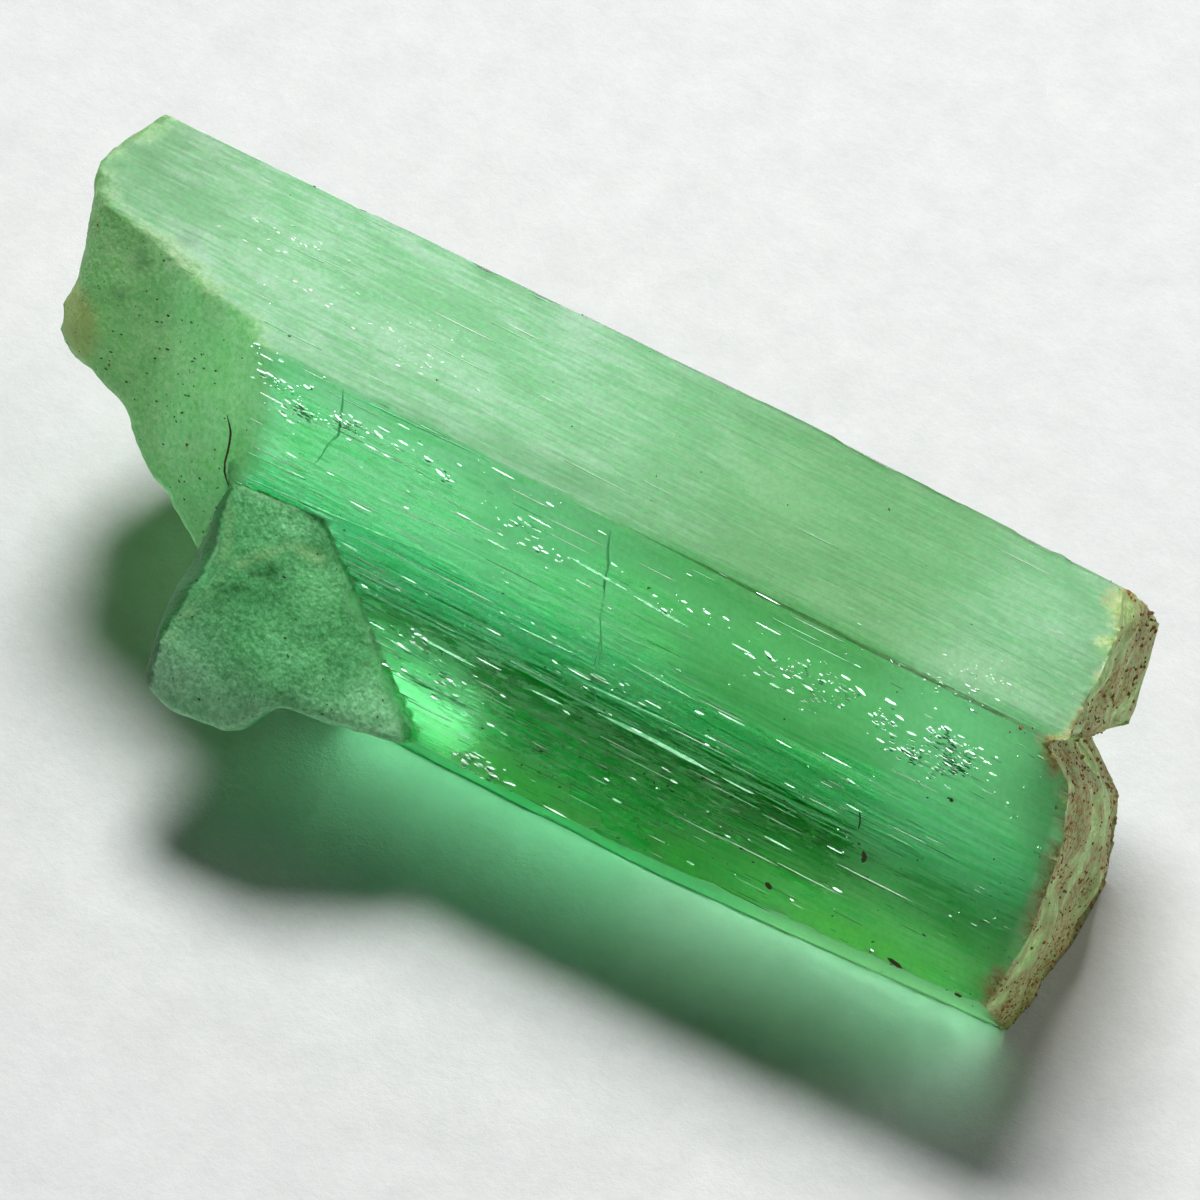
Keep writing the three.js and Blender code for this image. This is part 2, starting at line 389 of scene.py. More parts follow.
glow = front * oval(x - 4.75, t - 2.45, 0.75, 0.5)
glow = np.maximum(glow, 0.8 * belt_cloud)
glow = np.maximum(glow, 0.7 * front * oval(x - 4.9, t - 1.0, 1.1, 0.3))
glow = np.maximum(glow, stump_side)
worn_edge = front * smooth_step(t + 0.5 * fray, 2.65, 2.95)
worn_edge += front * 0.5 * smooth_step(x, 7.8, 9.2) * smooth_step(t, 2.0, 2.7)
front_rim = np.exp(-((edge / 0.13) ** 2)) * (np.abs(t - 3.0) < 0.6)
worn_edge = np.clip(np.maximum(worn_edge, front_rim * (front + lower_front > 0)), 0, 1)
calm = growth * (upper_back | under) * (1 - front_rim * lower_front)

masks = {
    "milk": milk, "calm": calm, "skin": skin, "olive": olive, "stump": stump, "right": right, "tan": tan,
    "iron": iron, "frost": frost, "warm": warm, "veil": veil, "pale": pale, "right_floor": right_floor,
    "back_floor": back_floor, "deep": deep, "pale_rim": pale_rim, "lobe": lobe, "dark_patch": dark_patch,
    "notch_facet": notch_facet, "clear_right": far_right, "lower_back": lower_back,
    "lower_front": lower_front, "glow": glow, "worn_edge": worn_edge,
}

# Where small things sit, and `room`: how long a sliver may be before it would pass an end.
foot_of_stump = from_line((3.5, -3.6, 2.4), (4.3, -3.7, 2.2), (5.0, -3.7, 1.85))
specks = front * smooth_step(t, 1.2, 2.4) + 0.8 * stump + 4.0 * share[:, OBLIQUE_BREAK] + 0.1 * growth
specks += 3 * stump * np.exp(-((foot_of_stump / 0.12) ** 2))
rust = right_break * (0.03 + 1.2 * iron**2) + 0.02 * share[:, OBLIQUE_BREAK]
rust += 0.5 * front * np.exp(-(((np.hypot(x - 11.35, t - 1.5) - 0.08) / 0.03) ** 2))
rust += 1.5 * front * np.exp(-(np.hypot(x - 11.2, t + 0.02) / 0.14) ** 2)
seats = {
    "broad_glints": clumps * (0.3 * belt + left_cluster + 1.6 * right_cluster + 1.5 * low_cluster),
    "glints": clumps
    * (0.03 * front + belt + 2.5 * left_cluster + 4 * right_cluster + 2 * edge_cluster + 1.5 * low_cluster),
    "flecks": veil * smooth_step(noise(place, (0.5, 0.2, 0.2), 27), -0.3, 0.5),
    "ledges": front * (0.3 + 0.9 * belt + 1.2 * mid_streaks + 2.2 * low_cluster) * (1 - frost),
    "needles": growth * np.where(on_top, 0.3, 1.0) * (on_top | on_front),
    "grooves": front * (0.2 + smooth_step(t, 1.2, 2.0)),
    "room": np.minimum(place[:, 0] - low.x - 0.9 * MM * (u > 1.95), high.x - 0.75 * MM - place[:, 0]),
    "specks": specks,
    "rust": rust,
}

crystal_data = bpy.data.meshes.new("emerald_body")
body_mesh.to_mesh(crystal_data)
body_mesh.free()
crystal_data.shade_smooth()
crystal_data.set_sharp_from_angle(angle=math.radians(35))
for name, values in {**masks, **seats}.items():
    crystal_data.attributes.new(name, "FLOAT", "POINT").data.foreach_set("value", values.astype(np.float32))
crystal = bpy.data.objects.new("emerald_body", crystal_data)
scene.collection.objects.link(crystal)


def linear(code):
    """A linear colour from sRGB hex."""
    parts = [int(code[i : i + 2], 16) / 255 for i in (0, 2, 4)]
    return [c / 12.92 if c <= 0.04045 else ((c + 0.055) / 1.055) ** 2.4 for c in parts] + [1]


def add(tree, kind_of_node, sockets=None, **settings):
    """Adds a node. A socket is given a value, an sRGB hex colour, or a node or output to link from."""
    node = tree.nodes.new(kind_of_node)
    for name, value in settings.items():
        setattr(node, name, value)
    for socket, value in (sockets or {}).items():
        if isinstance(value, bpy.types.Node):
            value = next(output for output in value.outputs if output.enabled)
        if isinstance(value, bpy.types.NodeSocket):
            tree.links.new(value, node.inputs[socket])
        elif node.inputs[socket].type == "RGBA":
            node.inputs[socket].default_value = linear(value)
        else:
            node.inputs[socket].default_value = value
    return node


def new_material(name):
    made = bpy.data.materials.new(name)
    made.use_nodes = True
    made.node_tree.nodes.clear()
    return made, made.node_tree


# Beryl, index about 1.577, green from a trace of chromium. Glassy where it is clear; fine sealed
# clouds drawn out along the prism make it milky, and the breaks are frosted by tiny steps.
beryl, tree = new_material("emerald_green_beryl")
where = add(tree, "ShaderNodeTexCoord").outputs["Object"]
mask = {name: add(tree, "ShaderNodeAttribute", attribute_name=name).outputs["Fac"] for name in masks}

# Each pattern's features per millimetre along x, y and z, its detail and its roughness. The streaks
# and bits are sealed clouds; the ribs, steps and grit are coarser than the real ones, to show.
PATTERNS = {
    "streaks": ((1.6, 26, 26), 3.0, 0.65),
    "bits": ((4, 26, 26), 2.0, 0.75),
    "clouds": ((0.8, 1.6, 1.6), 3.0, 0.65),
    "blotches": ((2.2, 2.2, 2.2), 2.0, 0.6),
    "grit": ((18, 18, 18), 3.0, 0.75),
    "ribs": ((1.6, 26, 26), 1.0, 0.5),
    "steps": ((16, 16, 16), 1.0, 0.7),
}
pattern = {}
for name, (per_mm, detail, roughness) in PATTERNS.items():
    way = add(tree, "ShaderNodeMapping", {"Vector": where, "Scale": [n / MM for n in per_mm]})
    pattern[name] = add(
        tree, "ShaderNodeTexNoise", {"Vector": way, "Scale": 1.0, "Detail": detail, "Roughness": roughness}
    )

# The same patterns with more contrast: each one's source, and the values that become 0 and 1.
for name, source, start, end in (
    ("sharp_streaks", "streaks", 0.3, 0.7),
    ("sharp_bits", "bits", 0.35, 0.65),
    ("sharp_clouds", "clouds", 0.38, 0.62),
    ("worn_clouds", "clouds", 0.38, 0.55),
    ("sharp_blotches", "blotches", 0.3, 0.7),
    ("sharp_grit", "grit", 0.36, 0.64),
):
    pattern[name] = add(tree, "ShaderNodeMapRange", {0: pattern[source], 1: start, 2: end})
speckled = add(tree, "ShaderNodeMix", {0: 0.55, 2: pattern["sharp_blotches"], 3: pattern["sharp_grit"]})

# `haze` is how milky the skin is, from the clouds under it.
wisps = add(tree, "ShaderNodeMix", {0: 0.5, 2: pattern["sharp_streaks"], 3: pattern["sharp_clouds"]})
wisps = add(tree, "ShaderNodeMix", {0: 0.35, 2: wisps, 3: pattern["sharp_bits"]})
thin_haze = add(tree, "ShaderNodeMapRange", {0: wisps, 1: 0.35, 2: 1.0, 3: 0.0, 4: 0.45})
frost_haze = add(tree, "ShaderNodeMapRange", {0: wisps, 1: 0.0, 2: 0.9, 3: 0.25, 4: 0.9})
milk_haze = add(tree, "ShaderNodeMapRange", {0: wisps, 1: 0.0, 2: 0.9, 3: 0.35, 4: 1.0})
glow_haze = add(tree, "ShaderNodeMapRange", {0: pattern["clouds"], 1: 0.35, 2: 0.65, 3: 0.1, 4: 0.9})
veil_shape = add(tree, "ShaderNodeMapRange", {0: wisps, 1: 0.2, 2: 0.5})
veiled = add(tree, "ShaderNodeMath", {0: mask["veil"], 1: veil_shape}, operation="MULTIPLY")
wear = add(tree, "ShaderNodeMath", {0: mask["worn_edge"], 1: pattern["worn_clouds"]}, operation="MULTIPLY")
dots = add(tree, "ShaderNodeMapRange", {0: pattern["bits"], 1: 0.47, 2: 0.58, 3: 0.0, 4: 0.75})
dots_here = add(tree, "ShaderNodeMapRange", {0: pattern["clouds"], 1: 0.35, 2: 0.6, 3: 0.3, 4: 1.0})
mottled = add(tree, "ShaderNodeMath", {0: dots, 1: dots_here}, operation="MULTIPLY")
mottled_haze = add(tree, "ShaderNodeMix", {0: mask["calm"], 2: mottled, 3: 0.0})
haze = add(tree, "ShaderNodeMix", {0: mask["frost"], 2: thin_haze, 3: frost_haze})
haze = add(tree, "ShaderNodeMix", {0: mask["milk"], 2: haze, 3: milk_haze})
haze = add(tree, "ShaderNodeMix", {0: mask["calm"], 2: haze, 3: mask["milk"]})
haze = add(tree, "ShaderNodeMix", {0: wear, 2: haze, 3: 0.9})
haze = add(tree, "ShaderNodeMath", {0: haze, 1: mottled_haze}, operation="MAXIMUM")
haze = add(tree, "ShaderNodeMix", {0: mask["glow"], 2: haze, 3: glow_haze})
haze = add(tree, "ShaderNodeMix", {0: veiled, 2: haze, 3: 1.0})

# `satin` is where that skin still lets the light through, so it glows.
satin = add(tree, "ShaderNodeMath", {0: mask["frost"], 1: wear}, operation="MAXIMUM")
satin = add(tree, "ShaderNodeMath", {0: satin, 1: mask["glow"]}, operation="MAXIMUM")
mottled_satin = add(tree, "ShaderNodeMix", {0: mask["milk"], 2: mottled, 3: 0.0})
satin = add(tree, "ShaderNodeMath", {0: satin, 1: mottled_satin}, operation="MAXIMUM")
any_break = add(tree, "ShaderNodeMath", {0: mask["olive"], 1: mask["stump"]}, operation="ADD")
any_break = add(tree, "ShaderNodeMath", {0: any_break, 1: mask["right"]}, operation="ADD", use_clamp=True)

# Each tone lies over the ones before it: first the growth faces, then the resting face, then the
# breaks. A pair of tones is mixed by a pattern or a mask.
drawn_out = add(tree, "ShaderNodeMix", {0: 0.5, 2: pattern["streaks"], 3: pattern["clouds"]})
drawn_out = add(tree, "ShaderNodeMapRange", {0: drawn_out, 1: 0.44, 2: 0.57})
uneven = add(tree, "ShaderNodeMix", {0: 0.35, 2: pattern["streaks"], 3: pattern["clouds"]})
uneven = add(tree, "ShaderNodeMapRange", {0: uneven, 1: 0.42, 2: 0.56})


def lay(under_it, tones):
    """Lays tones over one another, each where its mask says: one colour, or two and what mixes them."""
    for here, tone, *pair in tones:
        if pair:
            tone = add(tree, "ShaderNodeMix", {0: pair[1], 6: tone, 7: pair[0]}, data_type="RGBA")
        under_it = add(tree, "ShaderNodeMix", {0: here, 6: under_it, 7: tone}, data_type="RGBA")
    return under_it


colour = lay("E4FFE8", (
    (haze, "59EB7F", "D4FFE0", drawn_out),
    (veiled, "DCFFE2"),
    (satin, "E8FFE4"),
))
streaked = lay("90EAAC", ((uneven, "FFFFFF"), (mask["milk"], "FFFFFF")))
colour = add(tree, "ShaderNodeMix", {0: 1.0, 6: colour, 7: streaked}, data_type="RGBA", blend_type="MULTIPLY")
colour = lay(colour, (
    (mask["calm"], "F0FFF4"),
    (mask["lower_front"], "B8FFD8", "FFFFFF", mask["clear_right"]),
    (wear, "D0FFA0"),
    (mask["glow"], "B4FFCC"),
))
warmth = lay("FFFFFF", ((mask["warm"], "9CC98E"),))
colour = add(tree, "ShaderNodeMix", {0: 1.0, 6: colour, 7: warmth}, data_type="RGBA", blend_type="MULTIPLY")
# The resting face: deep green, with a strip along its back painted lighter over its shade and pale painted
# pools of focused light.
resting = lay(lay("0CB454", ((pattern["blotches"], "40DC90"),)), (
    (mask["right_floor"], "B8E090", "F4FFC4", pattern["blotches"]),
    (mask["back_floor"], "90F0B0"),
    (mask["pale"], "D8FFE0"),
))
colour = lay(colour, (
    (mask["lower_back"], "A4FFC0"),
    (mask["deep"], "50F4A4"),
    (mask["skin"], resting),
    (mask["olive"], "98EC84", "E8FFD0", speckled),
    (mask["stump"], "40A058", "84E498", speckled),
    # On the stump: the lobe is painted lighter, the rim and crest carry a painted highlight, and painted
    # shade lies below the crest and over its left side, beside a few dark spots.
    (mask["lobe"], "70D088", "C4FFD0", speckled),
    (mask["pale_rim"], "A0D894"),
    (mask["dark_patch"], "2C7C3C"),
    (mask["right"], "98BC5C", "ECFFB0", speckled),
    (mask["notch_facet"], "F0FFE4"),
    (mask["tan"], "ECE08C"),
))
shade = lay("E2EAE2", ((pattern["sharp_grit"], "FFFFFF"),))
colour = add(tree, "ShaderNodeMix", {0: 1.0, 6: colour, 7: shade}, data_type="RGBA", blend_type="MULTIPLY")
stained = add(tree, "ShaderNodeMapRange", {0: pattern["grit"], 1: 0.42, 2: 0.56, 3: 0.15, 4: 1.0})
stained = add(tree, "ShaderNodeMath", {0: stained, 1: mask["iron"]}, operation="MULTIPLY")
colour = lay(colour, ((stained, "744A14", "B08434", pattern["blotches"]),))

# How see-through each finish is, and how rough.
clear = add(tree, "ShaderNodeMapRange", {0: haze, 1: 0.0, 2: 1.0, 3: 1.0, 4: 0.5})
clear = add(tree, "ShaderNodeMix", {0: satin, 2: clear, 3: 0.95})
clear_calm = add(tree, "ShaderNodeMapRange", {0: haze, 1: 0.0, 2: 1.0, 3: 1.0, 4: 0.12})
clear = add(tree, "ShaderNodeMix", {0: mask["calm"], 2: clear, 3: clear_calm})
clear_break = add(tree, "ShaderNodeMix", {0: mask["olive"], 2: 0.25, 3: 0.6})
clear = add(tree, "ShaderNodeMix", {0: any_break, 2: clear, 3: clear_break})
clear = add(tree, "ShaderNodeMix", {0: stained, 2: clear, 3: 0.05})
clear = add(tree, "ShaderNodeMix", {0: mask["skin"], 2: clear, 3: 0.1})
hazy_rough = add(tree, "ShaderNodeMapRange", {0: haze, 1: 0.0, 2: 1.0, 3: 0.05, 4: 0.7})
milky_rough = add(tree, "ShaderNodeMapRange", {0: mask["milk"], 1: 0.0, 2: 0.35, 3: 0.05, 4: 0.6})
resting_rough = add(tree, "ShaderNodeMapRange", {0: mask["pale"], 1: 0.0, 2: 0.8, 3: 0.7, 4: 0.12})
rough = add(tree, "ShaderNodeMath", {0: hazy_rough, 1: milky_rough}, operation="MAXIMUM")
for here, there in (
    (mask["calm"], hazy_rough), (mask["lower_front"], 0.5), (any_break, 0.6), (mask["skin"], resting_rough),
):
    rough = add(tree, "ShaderNodeMix", {0: here, 2: rough, 3: there})
steps = add(tree, "ShaderNodeMapRange", {0: pattern["steps"], 1: 0.0, 2: 1.0, 3: 0.0, 4: 2.5})
relief = add(tree, "ShaderNodeMix", {0: mask["calm"], 2: pattern["ribs"], 3: 0.5})
relief = add(tree, "ShaderNodeMix", {0: any_break, 2: relief, 3: steps})
bump = add(tree, "ShaderNodeBump", {"Height": relief, "Strength": 0.45, "Distance": 0.012 * MM})
surface = add(
    tree,
    "ShaderNodeBsdfPrincipled",
    {"Base Color": colour, "Roughness": rough, "IOR": 1.577, "Transmission Weight": clear, "Normal": bump},
)
inside = add(tree, "ShaderNodeVolumeAbsorption", {"Color": "B3FCD6", "Density": 270.0})
add(tree, "ShaderNodeOutputMaterial", {"Surface": surface, "Volume": inside})
crystal_data.materials.clear()
crystal_data.materials.append(beryl)

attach(crystal, "root")
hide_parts("emerald_crystal")

# ---- Glints, ledges and needles --------------------------------------------------------
# Growth leaves narrow ledges along the prism, and small films of trapped fluid open at its skin.
# Ledges and films turned to the light glint, and fine hollow needles run beside them.


def scattering_tree():
    """Slivers and grains strewn over a surface as densely as one of its attributes says."""
    tree = bpy.data.node_groups.new("strewn_slivers", "GeometryNodeTree")
    tree.interface.new_socket("Surface", in_out="INPUT", socket_type="NodeSocketGeometry")
    for name, kind_of_socket in {
        "Where": "NodeSocketString",
        "Count per square metre": "NodeSocketFloat",
        "Seed": "NodeSocketInt",
        "Shortest": "NodeSocketFloat",
        "Longest": "NodeSocketFloat",
        "Thinnest": "NodeSocketFloat",
        "Thickest": "NodeSocketFloat",
        "Flatness": "NodeSocketFloat",
        "Lean": "NodeSocketVector",
        "Swing": "NodeSocketVector",
        "Rise": "NodeSocketFloat",
        "Material": "NodeSocketMaterial",
    }.items():
        tree.interface.new_socket(name, in_out="INPUT", socket_type=kind_of_socket)
    tree.interface.new_socket("Slivers", in_out="OUTPUT", socket_type="NodeSocketGeometry")
    given = add(tree, "NodeGroupInput").outputs
    wanted = add(tree, "GeometryNodeInputNamedAttribute", {"Name": given["Where"]}, data_type="FLOAT")
    count = given["Count per square metre"]
    density = add(tree, "ShaderNodeMath", {0: wanted, 1: count}, operation="MULTIPLY")
    points = add(
        tree,
        "GeometryNodeDistributePointsOnFaces",
        {"Mesh": given["Surface"], "Density": density, "Seed": given["Seed"]},
    )
    chance = add(tree, "FunctionNodeRandomValue", {"Seed": given["Seed"]}, data_type="FLOAT")
    mostly_short = add(tree, "ShaderNodeMath", {0: chance.outputs[1], 1: 2.5}, operation="POWER")
    length = add(
        tree, "ShaderNodeMapRange", {"Value": mostly_short, 3: given["Shortest"], 4: given["Longest"]}
    )
    room = add(tree, "GeometryNodeInputNamedAttribute", {"Name": "room"}, data_type="FLOAT")
    fitting = add(tree, "ShaderNodeMath", {0: length, 1: room}, operation="MINIMUM")
    length = add(tree, "ShaderNodeMath", {0: fitting, 1: given["Shortest"]}, operation="MAXIMUM")
    width = add(
        tree,
        "FunctionNodeRandomValue",
        {2: given["Thinnest"], 3: given["Thickest"], "Seed": given["Seed"]},
        data_type="FLOAT",
    ).outputs[1]
    height = add(tree, "ShaderNodeMath", {0: width, 1: given["Flatness"]}, operation="MULTIPLY")
    size = add(tree, "ShaderNodeCombineXYZ", {0: length, 1: width, 2: height})
    back_swing = add(tree, "ShaderNodeVectorMath", {0: given["Swing"], 1: (-1, -1, -1)}, operation="MULTIPLY")
    swing = add(
        tree,
        "FunctionNodeRandomValue",
        {0: back_swing, 1: given["Swing"], "Seed": given["Seed"]},
        data_type="FLOAT_VECTOR",
    )
    turn = add(tree, "ShaderNodeVectorMath", {0: swing, 1: given["Lean"]}, operation="ADD")
    rise = add(tree, "ShaderNodeMath", {0: width, 1: given["Rise"]}, operation="MULTIPLY")
    lift = add(tree, "ShaderNodeVectorMath", {0: points.outputs["Normal"], "Scale": rise}, operation="SCALE")
    lifted = add(tree, "GeometryNodeSetPosition", {"Geometry": points, "Offset": lift})
    sliver = add(tree, "GeometryNodeMeshCylinder", {"Vertices": 7, "Radius": 0.5, "Depth": 1.0})
    placed = add(
        tree,
        "GeometryNodeInstanceOnPoints",
        {"Points": lifted, "Instance": sliver, "Rotation": turn, "Scale": size},
    )
    real = add(tree, "GeometryNodeRealizeInstances", {"Geometry": placed})
    finished = add(tree, "GeometryNodeSetMaterial", {"Geometry": real, "Material": given["Material"]})
    add(tree, "NodeGroupOutput", {0: finished})
    return tree


strewn = scattering_tree()


def strew(name, values):
    """Makes one piece of slivers on the crystal's skin."""
    piece = bpy.data.objects.new(name, crystal_data.copy())
    scene.collection.objects.link(piece)
    modifier = piece.modifiers.new("strewn", "NODES")
    modifier.node_group = strewn
    for item in strewn.interface.items_tree:
        if item.in_out == "INPUT" and item.name in values:
            modifier[item.identifier] = values[item.name]
    evaluated = piece.evaluated_get(bpy.context.evaluated_depsgraph_get())
    finished = bpy.data.meshes.new_from_object(evaluated)
    piece.modifiers.remove(modifier)
    piece.data = finished
    for attribute in [a.name for a in finished.attributes if a.name in masks or a.name in seats]:
        finished.attributes.remove(finished.attributes[attribute])
    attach(piece, "root")
    return piece


# Fresh beryl of ledges and of films of trapped fluid, polished by growth. It is glossy, so it flashes
# white where it is turned to the light and is pale green elsewhere.
film, tree = new_material("sealed_fluid_film")
where = add(tree, "ShaderNodeTexCoord").outputs["Object"]
uneven = add(tree, "ShaderNodeTexNoise", {"Vector": where, "Scale": 14 / MM, "Detail": 3.0})
film_rough = add(tree, "ShaderNodeMapRange", {0: uneven, 1: 0.35, 2: 0.65, 3: 0.1, 4: 0.34})
film_colour = add(tree, "ShaderNodeMix", {0: uneven, 6: "30B060", 7: "90F0B0"}, data_type="RGBA")
shine = add(
    tree,
    "ShaderNodeBsdfPrincipled",
    {"Base Color": film_colour, "Roughness": film_rough, "IOR": 1.577},
)
add(tree, "ShaderNodeOutputMaterial", {"Surface": shine})

strew("glinting_films", {
    "Where": "glints", "Count per square metre": 400 / MM**2, "Seed": 3,
    "Shortest": 0.01 * MM, "Longest": 0.12 * MM, "Thinnest": 0.008 * MM, "Thickest": 0.026 * MM,
    "Flatness": 0.1, "Lean": (0.05, 0.08, 0.0), "Swing": (0.06, 0.06, 0.15), "Rise": 0.45,
    "Material": film,
})
strew("broad_glints", {
    "Where": "broad_glints", "Count per square metre": 200 / MM**2, "Seed": 41,
    "Shortest": 0.03 * MM, "Longest": 0.16 * MM, "Thinnest": 0.014 * MM, "Thickest": 0.034 * MM,
    "Flatness": 0.06, "Lean": (0.05, 0.08, 0.0), "Swing": (0.06, 0.06, 0.3), "Rise": 0.45,
    "Material": film,
})
strew("growth_ledges", {
    "Where": "ledges", "Count per square metre": 18 / MM**2, "Seed": 5,
    "Shortest": 0.02 * MM, "Longest": 0.35 * MM, "Thinnest": 0.006 * MM, "Thickest": 0.018 * MM,
    "Flatness": 0.15, "Lean": (0.05, 0.04, 0.0), "Swing": (0.1, 0.01, 0.01), "Rise": 0.42,
    "Material": film,
})

# Hollow needles filled with fluid: pale where they scatter light, dark where they turn it away.
needle_stuff, tree = new_material("hollow_growth_needle")
where = add(tree, "ShaderNodeTexCoord").outputs["Object"]
streak_way = add(tree, "ShaderNodeMapping", {"Vector": where, "Scale": (0.4 / MM, 25 / MM, 25 / MM)})
which = add(tree, "ShaderNodeTexNoise", {"Vector": streak_way, "Scale": 1.0, "Detail": 1.0})
pale_or_green = add(tree, "ShaderNodeMapRange", {0: which, 1: 0.4, 2: 0.6, 3: 0.0, 4: 1.0})
needle_colour = add(
    tree, "ShaderNodeMix", {0: pale_or_green, 6: "98E4AA", 7: "F4FFF4"}, data_type="RGBA"
)
dull = add(tree, "ShaderNodeBsdfPrincipled", {"Base Color": needle_colour, "Roughness": 0.5})
add(tree, "ShaderNodeOutputMaterial", {"Surface": dull})
strew("cloud_flecks", {
    "Where": "flecks", "Count per square metre": 260 / MM**2, "Seed": 31,
    "Shortest": 0.01 * MM, "Longest": 0.08 * MM, "Thinnest": 0.008 * MM, "Thickest": 0.024 * MM,
    "Flatness": 0.2, "Lean": (0.05, 0.08, 0.0), "Swing": (0.3, 0.3, 0.3), "Rise": 0.0,
    "Material": needle_stuff,
})
strew("growth_needles", {
    "Where": "needles", "Count per square metre": 7 / MM**2, "Seed": 8,
    "Shortest": 0.08 * MM, "Longest": 0.9 * MM, "Thinnest": 0.004 * MM, "Thickest": 0.009 * MM,
    "Flatness": 1.0, "Lean": (0.0, 0.0, 0.0), "Swing": (0.5, 0.006, 0.006), "Material": needle_stuff,
})

# ---- Dark specks and grooves -----------------------------------------------------------
# Tiny pits and grains of dark dirt and mica caught in the skin, and fine grooves along the prism
# that hold the same dirt.
mica, tree = new_material("dark_mica_grain")
where = add(tree, "ShaderNodeTexCoord").outputs["Object"]
patchy = add(tree, "ShaderNodeTexNoise", {"Vector": where, "Scale": 5 / MM, "Detail": 2.0})
mica_colour = add(tree, "ShaderNodeMix", {0: patchy, 6: "12321C", 7: "3D5A2C"}, data_type="RGBA")
dull = add(tree, "ShaderNodeBsdfPrincipled", {"Base Color": mica_colour, "Roughness": 0.6})
add(tree, "ShaderNodeOutputMaterial", {"Surface": dull})
strew("dark_specks", {
    "Where": "specks", "Count per square metre": 9 / MM**2, "Seed": 12,
    "Shortest": 0.01 * MM, "Longest": 0.05 * MM, "Thinnest": 0.008 * MM, "Thickest": 0.018 * MM,
    "Flatness": 0.7, "Lean": (0.0, 0.0, 0.0), "Swing": (1.0, 0.3, 0.6), "Material": mica,
})

strew("dark_grooves", {
    "Where": "grooves", "Count per square metre": 7 / MM**2, "Seed": 23,
    "Shortest": 0.08 * MM, "Longest": 0.8 * MM, "Thinnest": 0.004 * MM, "Thickest": 0.007 * MM,
    "Flatness": 0.6, "Lean": (0.0, 0.0, 0.0), "Swing": (0.5, 0.006, 0.006), "Material": mica,
})

# ---- Long ledges, cracks and a hair ----------------------------------------------------
# A few ledges run much further than the rest, and two fine cracks cross the upper front face. A
# dark hair of root and some dark brown dirt stick to it.
skin_lookup = BVHTree.FromPolygons(
    [v.co for v in crystal_data.vertices], [tuple(p.vertices) for p in crystal_data.polygons]
)


def front_point(x, t):
    """On the skin of the upper front face, x mm along it and t mm down from its ridge."""
    y = TOP_BACK_Y - TOP_WIDTH - t * MM * math.cos(PRISM_TURN)
    flat = Vector((PRISM_LEFT + x * MM, y, cad_high.z - t * MM * math.sin(PRISM_TURN)))
    return skin_lookup.find_nearest(flat)[0]


def threads(name, material, lines, across=None, rise=0.0):
    """One piece of tapered flat threads: each line is its width and height, then its points."""
    verts, faces = [], []
    for width, height, *points in lines:
        steps = max(4, int(math.dist(points[0], points[-1]) / 0.04))
        share_at = np.linspace(0, len(points) - 1, steps + 1)
        xs, ts = [np.interp(share_at, range(len(points)), values) for values in zip(*points)]
        way = [front_point(a, b) for a, b in zip(xs, ts)]
        for k, at in enumerate(way):
            along = (way[min(k + 1, steps)] - way[max(k - 1, 0)]).normalized()
            out = Vector((0, -math.sin(PRISM_TURN), math.cos(PRISM_TURN)))
            side = across.copy() if across else along.cross(out).normalized()
            at = at + out * rise * width * MM
            up_side = side.cross(along).normalized()
            full = min(1, 4 * k / steps + 0.1, 4 * (steps - k) / steps + 0.1)
            a, b = side * width * MM / 2 * full, up_side * height * MM / 2
            verts += [at - a - b, at + a - b, at + a + b, at - a + b]
        first = len(verts) - 4 * (steps + 1)
        for k in range(steps):
            for i in range(4):
                j = (i + 1) % 4
                ring = first + 4 * k
                faces.append((ring + i, ring + j, ring + 4 + j, ring + 4 + i))
        faces += [(first + 3, first + 2, first + 1, first), tuple(len(verts) - 4 + i for i in range(4))]
    data = bpy.data.meshes.new(name)
    data.from_pydata(verts, [], faces)
    mesh = bmesh.new()
    mesh.from_mesh(data)
    bmesh.ops.recalc_face_normals(mesh, faces=mesh.faces)
    mesh.to_mesh(data)
    mesh.free()
    data.materials.append(material)
    piece = bpy.data.objects.new(name, data)
    scene.collection.objects.link(piece)
    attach(piece, "root")


threads("long_ledges", film, [
    (0.045, 0.008, (6.97, 1.94), (7.6, 1.93), (8.33, 1.95)),
    (0.022, 0.008, (6.66, 1.72), (7.3, 1.69), (7.83, 1.67)),
    (0.02, 0.008, (8.4, 1.96), (8.75, 1.97)),
    (0.022, 0.008, (2.64, 1.38), (3.7, 1.31), (4.72, 1.23)),
    (0.02, 0.008, (2.6, 1.12), (3.3, 1.1)),
    (0.03, 0.008, (4.9, 2.08), (5.6, 2.1)),
    (0.03, 0.008, (4.6, 2.26), (5.4, 2.3)),
    (0.025, 0.008, (4.9, 2.5), (5.7, 2.52)),
    (0.03, 0.008, (6.2, 0.56), (6.9, 0.6)),
    (0.03, 0.008, (6.95, 0.62), (7.6, 0.66)),
    (0.018, 0.008, (5.8, 1.5), (6.6, 1.48)),
    (0.018, 0.008, (7.1, 1.3), (7.9, 1.34)),
    (0.02, 0.008, (6.2, 2.05), (6.6, 2.04)),
], across=Vector((0, 1, -0.05)), rise=0.45)

